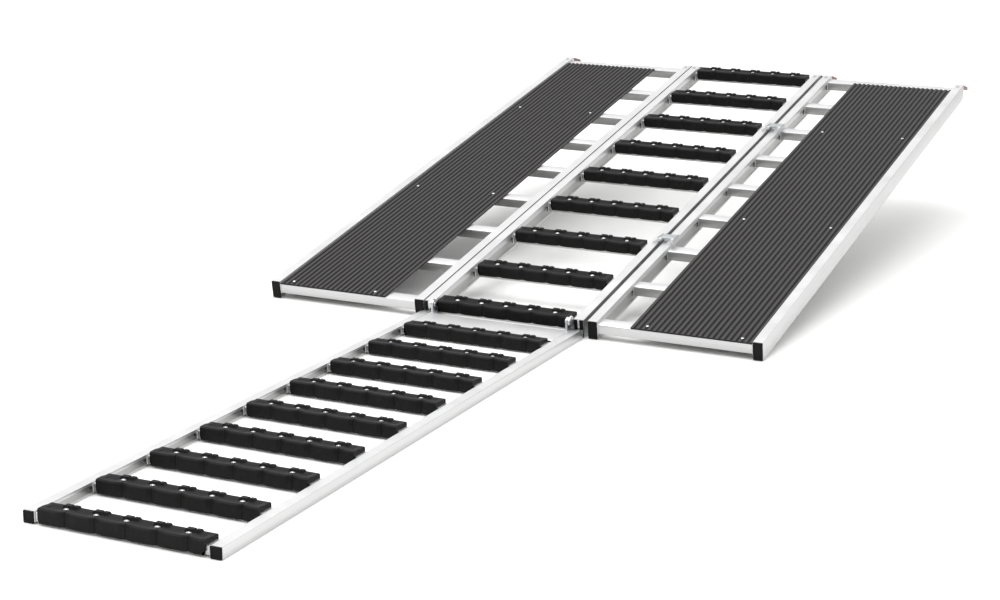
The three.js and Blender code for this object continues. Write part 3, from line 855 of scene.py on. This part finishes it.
def extruded_mat():
    """Charcoal polyethylene, extruded: matt, with faint draw lines up the ramp and chalky wear on the ribs,
    while the valleys between them are painted darker as painted shade."""
    material, tree = blank("extruded_charcoal_polyethylene")
    place = add(tree, "TexCoord", {})
    level = add(tree, "Mapping", {"Vector": place.outputs["Object"], "Rotation": (-slope, 0, 0)})
    drawing = (1 / (0.9 * mm), 1 / (60 * mm), 1 / (0.9 * mm))
    drawn = add(tree, "Mapping", {"Vector": level.outputs["Vector"], "Scale": drawing})
    lines = add(tree, "TexNoise", {"Vector": drawn.outputs["Vector"], "Scale": 1.0, "Detail": 4.0})
    dust = add(
        tree, "TexNoise", {"Vector": level.outputs["Vector"], "Scale": 14.0, "Detail": 6.0, "Roughness": 0.65}
    )
    charcoal, chalky, valley = linear("#333232"), linear("#464444"), linear("#171616")
    wear_and_lit_top = add(tree, "MixRGB", {"Fac": lines.outputs["Fac"], "Color1": charcoal, "Color2": chalky})
    height = add(tree, "SeparateXYZ", {"Vector": level.outputs["Vector"]})
    deck = (tip_up.inverted() @ main_panels.translation).z
    low, high = deck + mat_bottom + mat_base + 0.5 * mm, deck + rib_top - 0.5 * mm
    # Painted shade: below the rib tops the colour turns to the near-black valley colour.
    on_rib = spread(tree, height.outputs["Z"], low, high, 0.0, 1.0)
    shade = add(tree, "MixRGB", {"Fac": on_rib, "Color1": valley, "Color2": wear_and_lit_top.outputs["Color"]})
    tone = add(
        tree,
        "MixRGB",
        {"Fac": 0.25, "Color1": shade.outputs["Color"], "Color2": dust.outputs["Fac"]},
        blend_type="OVERLAY",
    )
    bumps = add(tree, "Bump", {"Height": lines.outputs["Fac"], "Strength": 0.4, "Distance": 0.3 * mm})
    rough = spread(tree, dust.outputs["Fac"], 0.3, 0.7, 0.55, 0.72)
    plastic = add(
        tree,
        "BsdfPrincipled",
        {
            "Base Color": tone.outputs["Color"],
            "Roughness": rough,
            "IOR": 1.5,
            "Specular IOR Level": 0.2,
            "Normal": bumps.outputs["Normal"],
        },
    )
    add(tree, "OutputMaterial", {"Surface": plastic.outputs["BSDF"]})
    return material


mat_plastic = extruded_mat()
left_mat_x = left_outer + rail_wide + play
right_mat_x = right_outer - rail_wide - play - mat_wide
left_screws = [left_mat_x + 32 * mm, left_mat_x + mat_wide - 38 * mm]
right_screws = [right_mat_x + 38 * mm, right_mat_x + mat_wide - 32 * mm]
finish_piece(
    "left_deck_mat",
    ribbed_mat(left_mat_x, left_screws),
    main_panels,
    [mat_plastic, screw_zinc],
    "left_panel",
    "mat_plastic",
    ["left_mat"],
)
finish_piece(
    "right_deck_mat",
    ribbed_mat(right_mat_x, right_screws),
    main_panels,
    [mat_plastic, screw_zinc],
    "right_panel",
    "mat_plastic",
    ["right_mat"],
)

# ---- Rail end plugs ----
# A black moulded plug is pushed into the lower end of each rail. Its flange has a shallow dish in the middle.
# The centre rails' plugs are split, and a bright web of the rail shows between their halves.

plug_flange = 3 * mm
plug_inset = 1 * mm
main_rails = {
    "left_outer": (left_outer, "left_panel"),
    "left_inner": (left_inner - rail_wide, "left_panel"),
    "centre_left": (-centre_edge, "centre"),
    "centre_right": (centre_edge - rail_wide, "centre"),
    "right_inner": (right_inner, "right_panel"),
    "right_outer": (right_outer - rail_wide, "right_panel"),
}
extension_rails = {
    "extension_left": (-centre_edge, "extension"),
    "extension_right": (centre_edge - extension_rail_wide, "extension"),
}


def end_plug(x0, wide, high, y, split):
    """A flange over the rail's end with a dished middle, and the spigot that grips inside the rail."""
    whole = bmesh.new()
    low = Vector((x0 + plug_inset, y - plug_flange, plug_inset - high))
    flange = block(low, (x0 + wide - plug_inset, y - play, -plug_inset), 0.9 * mm, 2)
    flange.normal_update()
    face = max(flange.faces, key=lambda f: -f.normal.y * f.calc_area())
    bmesh.ops.inset_region(flange, faces=[face], thickness=3 * mm, depth=0)
    bmesh.ops.inset_region(flange, faces=[face], thickness=1 * mm, depth=-0.9 * mm)
    gather(whole, flange)
    grip = rail_wall + play
    spigot_low, spigot_high = (x0 + grip, y - 1 * mm, grip - high), (x0 + wide - grip, y + 22 * mm, -grip)
    gather(whole, block(spigot_low, spigot_high, 1 * mm, 1))
    if split:
        middle = x0 + wide / 2
        web = block(
            (middle - 2.6 * mm, y - plug_flange - 0.3 * mm, -0.68 * high),
            (middle + 2.6 * mm, y - 1 * mm, -plug_inset),
            0.5 * mm,
        )
        gather(whole, web, 1)
    return whole


plug_plastic = moulded_polyethylene("moulded_black_plug", "#0F0F0F", "#191918", 0.42, 0.6)
for rail_name, (x0, body) in main_rails.items():
    finish_piece(
        f"{rail_name}_end_plug",
        end_plug(x0, rail_wide, rail_high, 0, body == "centre"),
        main_panels,
        [plug_plastic, main_finishes[0]],
        body,
        "plug_plastic",
        [f"{rail_name}_plug"],
    )
for rail_name, (x0, body) in extension_rails.items():
    finish_piece(
        f"{rail_name}_end_plug",
        end_plug(x0, extension_rail_wide, extension_rail_high, -extension_long, False),
        extension,
        [plug_plastic],
        body,
        "plug_plastic",
        [f"{rail_name}_plug"],
    )

# ---- Hook fingers ----
# A steel finger at the top of each rail rests on the tailgate. It is welded to a tongue that is bolted inside
# the rail, with a gusset under it, and is dipped in maroon vinyl that keeps it from scratching paint.

hook_angle = math.radians(23.5)
hook_long = 66 * mm
hook_wide = 24 * mm
hook_thick = 11 * mm
hook_top = 1 * mm


def hook_finger(x0):
    """The tongue, the sloping finger, its gusset, and the bolt through the rail's top."""
    whole = bmesh.new()
    middle = x0 + rail_wide / 2
    grip = rail_wall + play
    start = main_long + play
    tip = start + hook_long * math.cos(hook_angle)
    fall = (tip - start) * math.tan(hook_angle)
    thick = hook_thick / math.cos(hook_angle)
    points = [(start, -hook_top), (start, -hook_top - thick)]
    points += [(tip, -hook_top - fall - thick), (tip, -hook_top - fall)]
    gather(whole, prism(points, across, middle - hook_wide / 2, middle + hook_wide / 2, 2.6 * mm, 4))
    gusset = [(start, -hook_top - hook_thick / 2), (start, -27 * mm), (start + 5 * mm, -27 * mm)]
    gusset += [(start + 26 * mm, -18 * mm), (start + 26 * mm, -15 * mm)]
    gather(whole, prism(gusset, across, middle - 5 * mm, middle + 5 * mm, 1.6 * mm, 3))
    tongue_low = (x0 + grip, main_long - 60 * mm, -grip - hook_thick - 8 * mm)
    gather(whole, block(tongue_low, (x0 + rail_wide - grip, main_long + 2 * mm, -grip), 1.5 * mm, 2), 1)
    bolt = rod(Vector((middle, main_long - 24 * mm, 1 * mm)), upward, 5.2 * mm, 2.6 * mm, 20, 0.9 * mm)
    gather(whole, bolt, 1)
    return whole


def dipped_vinyl():
    """Dip-moulded vinyl: thick and rounded, deep maroon, semi-gloss, with faint runs and pits."""
    material, tree = blank("dipped_maroon_vinyl")
    place = add(tree, "TexCoord", {})
    runs = add(tree, "TexNoise", {"Vector": place.outputs["Object"], "Scale": 90.0, "Detail": 4.0})
    deep, thin = linear("#4E2427"), linear("#74393D")
    tone = add(tree, "MixRGB", {"Fac": runs.outputs["Fac"], "Color1": deep, "Color2": thin})
    pits = add(tree, "TexNoise", {"Vector": place.outputs["Object"], "Scale": 1 / (1.2 * mm), "Detail": 2.0})
    bumps = add(tree, "Bump", {"Height": pits.outputs["Fac"], "Strength": 0.35, "Distance": 0.3 * mm})
    vinyl = add(
        tree,
        "BsdfPrincipled",
        {
            "Base Color": tone.outputs["Color"],
            "Roughness": 0.45,
            "IOR": 1.53,
            "Coat Weight": 0.15,
            "Normal": bumps.outputs["Normal"],
        },
    )
    add(tree, "OutputMaterial", {"Surface": vinyl.outputs["BSDF"]})
    return material


vinyl = dipped_vinyl()
hinge_zinc = zinc_plate("zinc_plated_hinge_steel", "#A9ADB0", "#D6D9DA", 0.3)
for rail_name, (x0, body) in main_rails.items():
    finish_piece(
        f"{rail_name}_tailgate_hook",
        hook_finger(x0),
        main_panels,
        [vinyl, hinge_zinc],
        body,
        "hook_coating",
        [f"{rail_name}_hook"],
    )

# ---- Transition plate ----
# A wide extruded aluminium channel, open below, lies across the top of the extension and fills the step
# between its first cap and the centre panel. Fine grip ribs run along its top.

plate_front = -132 * mm
plate_back = -32 * mm
plate_top = -1 * mm
plate_high = 18 * mm
plate_wall = 3 * mm
plate_reach = centre_edge - extension_rail_wide - play


def transition_plate():
    """A channel section with ribs on top, drawn up the ramp and extruded across it."""
    root = plate_top - 0.9 * mm
    bottom = plate_top - plate_high
    points = [(plate_back, bottom), (plate_back, root), (plate_back - 2.5 * mm, plate_top)]
    rib_pitch = 5 * mm
    count = int((plate_back - plate_front - 5 * mm) / rib_pitch)
    for n in range(count):
        y = plate_back - 4 * mm - n * rib_pitch
        points += [(y, plate_top), (y - 0.5 * mm, root), (y - 1.5 * mm, root), (y - 2 * mm, plate_top)]
    points += [(plate_front + 1.2 * mm, plate_top), (plate_front, root), (plate_front, bottom)]
    points += [(plate_front + plate_wall, bottom), (plate_front + plate_wall, plate_top - plate_wall)]
    points += [(plate_back - plate_wall, plate_top - plate_wall), (plate_back - plate_wall, bottom)]
    return prism(points, across, -plate_reach, plate_reach)


# The plate's aluminium takes a painted highlight on faces that look up and painted shade on the others.
finish_piece(
    "transition_channel",
    transition_plate(),
    extension,
    [mill_aluminium("mill_aluminium_plate", 0, along_rung, "#ECECEC", "#CFCFCF")],
    "extension",
    "plate_aluminium",
    ["transition_plate"],
)

# ---- Extension hinge ----
# A zinc-plated steel block closes the upper end of each extension rail. Its ear rises beside the centre
# rail's lug, and a pin with a flat head passes through both, so that the extension folds over the centre.

block_face = 5 * mm
ear_thick = 5.5 * mm
ear_face = lug_face - lug_thick - play
pin_place = main_panels @ fold_pin
pin_in_extension = extension.inverted() @ pin_place


def hinge_block(side):
    """The block, its ear, and the spigot inside the extension rail."""
    whole = bmesh.new()
    back = -extension_end
    front = -block_face
    eye = (pin_in_extension.y, pin_in_extension.z)
    points = [(back, -extension_rail_high), (front, -extension_rail_high), (front, -2 * mm)]
    points += arc(eye, lug_radius, 0, 180, 16)
    points += [(back - 4 * mm, 0)]
    faces = sorted([side * (ear_face - ear_thick), side * ear_face])
    gather(whole, prism(points, across, *faces, 0.6 * mm, 2))
    sides = sorted([side * (ear_face - 1 * mm), side * centre_edge])
    body = block((sides[0], back + play, -extension_rail_high), (sides[1], front, -2 * mm), 1.2 * mm, 3)
    gather(whole, body)
    grip = rail_wall + play
    walls = sorted([side * (centre_edge - extension_rail_wide + grip), side * (centre_edge - grip)])
    spigot_low = (walls[0], back - 30 * mm, grip - extension_rail_high)
    gather(whole, block(spigot_low, (walls[1], back + 1 * mm, -grip), 1 * mm, 1))
    return whole


def fold_pin_piece(side):
    """A turned pin with a flat head on its inner end."""
    whole = bmesh.new()
    inner = ear_face - ear_thick - 3 * mm
    outer = lug_face - play
    middle = Vector((side * (inner + outer) / 2, fold_pin.y, 0))
    gather(whole, rod(middle, across, 4 * mm, outer - inner, 28, 0.4 * mm))
    head = Vector((side * (inner + 1.3 * mm), fold_pin.y, 0))
    gather(whole, rod(head, across, 6.6 * mm, 2.4 * mm, 28, 0.7 * mm))
    return whole


pin_zinc = zinc_plate("zinc_plated_turned_pins", "#BDC1C4", "#E4E6E7", 0.24)
for side_name, side in (("left", -1), ("right", 1)):
    finish_piece(
        f"extension_{side_name}_hinge_block",
        hinge_block(side),
        extension,
        [hinge_zinc],
        "extension",
        "hinge_steel",
        [f"extension_hinge_block_{side_name}"],
    )
    finish_piece(
        f"extension_{side_name}_fold_pin",
        fold_pin_piece(side),
        main_panels,
        [pin_zinc],
        "centre",
        "pin_steel",
        [f"extension_hinge_pin_{side_name}"],
    )

# ---- Right panel hinges ----
# Two steel links join the right panel to the centre one. Each turns on two pins, one in the centre panel's
# knuckles and one in the side panel's, so that the side panel can fold over on top of the folded extension.

link_half = 4 * mm
side_pin_radius = 2.5 * mm


def hinge_link(station):
    """A flat link with round ends."""
    points = arc((inner_pin_x, link_pin_z), link_half, 270, 90, 12)
    points += arc((outer_pin_x, link_pin_z), link_half, 90, -90, 12)
    return prism(points, along, station - link_wide / 2, station + link_wide / 2, 0.7 * mm, 2)


def link_pin(x, station):
    """A pin with a low domed head at both ends."""
    whole = bmesh.new()
    reach = link_wide / 2 + play + knuckle_wide + 1 * mm
    gather(whole, rod(Vector((x, station, link_pin_z)), along, side_pin_radius, 2 * reach, 20, 0.3 * mm))
    for side in (-1, 1):
        head = Vector((x, station + side * (reach - 0.5 * mm), link_pin_z))
        gather(whole, rod(head, along, 3.8 * mm, 0.9 * mm, 20, 0.3 * mm))
    return whole


for place_name, station in zip(("lower", "upper"), hinge_stations):
    finish_piece(
        f"right_{place_name}_link",
        hinge_link(station),
        main_panels,
        [hinge_zinc],
        "right_links",
        "hinge_steel",
        [f"right_hinge_link_{place_name}"],
    )
    finish_piece(
        f"right_{place_name}_inner_pin",
        link_pin(inner_pin_x, station),
        main_panels,
        [pin_zinc],
        "centre",
        "pin_steel",
        [f"right_hinge_inner_pin_{place_name}"],
    )
    finish_piece(
        f"right_{place_name}_outer_pin",
        link_pin(outer_pin_x, station),
        main_panels,
        [pin_zinc],
        "right_panel",
        "pin_steel",
        [f"right_hinge_outer_pin_{place_name}"],
    )

# ---- Left panel hinges ----
# Two butt hinges under the rails let the left panel fold beneath the centre one. The leaves are rolled
# round a common pin, and flat-headed screws hold them to the undersides of the two rails.

leaf_thick = 2.5 * mm
leaf_wide = 22 * mm
leaf_long = 80 * mm
barrel_radius = 4 * mm
left_pin_x = -centre_edge - left_gap / 2
leaf_top = -rail_high - 0.3 * mm
left_pin_z = leaf_top - barrel_radius


def hinge_leaf(station, side):
    """One leaf with its share of the three knuckles; the centre panel's leaf has the outer two."""
    whole = bmesh.new()
    y0 = station - leaf_long / 2
    knuckle = leaf_long / 3
    edges = sorted([left_pin_x + side * (barrel_radius + reach) for reach in (1 * mm, leaf_wide)])
    plate = block((edges[0], y0, leaf_top - leaf_thick), (edges[1], y0 + leaf_long, leaf_top))
    soften(plate, edges_along(plate, upward), 3 * mm, 4)
    gather(whole, plate)
    for n in (0, 2) if side > 0 else (1,):
        start, end = y0 + n * knuckle + play, y0 + (n + 1) * knuckle - play
        wrap = sorted([left_pin_x, left_pin_x + side * (barrel_radius + 2 * mm)])
        gather(whole, block((wrap[0], start, leaf_top - leaf_thick), (wrap[1], end, leaf_top)))
        middle = Vector((left_pin_x, (start + end) / 2, left_pin_z))
        gather(whole, rod(middle, along, barrel_radius, end - start, 28, 0.3 * mm))
    for n in range(3):
        screw_x = left_pin_x + side * (leaf_wide * 0.62 + 2 * mm)
        spot = Vector((screw_x, y0 + (n + 0.5) * knuckle, leaf_top - leaf_thick))
        gather(whole, rod(spot, upward, 3.6 * mm, 0.9 * mm, 20, 0.3 * mm), 1)
    return whole


for place_name, station in zip(("lower", "upper"), hinge_stations):
    for leaf_name, side, body in (("centre", 1, "centre"), ("panel", -1, "left_panel")):
        finish_piece(
            f"left_{place_name}_{leaf_name}_leaf",
            hinge_leaf(station, side),
            main_panels,
            [hinge_zinc, screw_zinc],
            body,
            "hinge_steel",
            [f"left_hinge_{leaf_name}_leaf_{place_name}"],
        )
    finish_piece(
        f"left_{place_name}_pin",
        rod(Vector((left_pin_x, station, left_pin_z)), along, side_pin_radius, leaf_long, 20, 0.4 * mm),
        main_panels,
        [pin_zinc],
        "centre",
        "pin_steel",
        [f"left_hinge_pin_{place_name}"],
    )
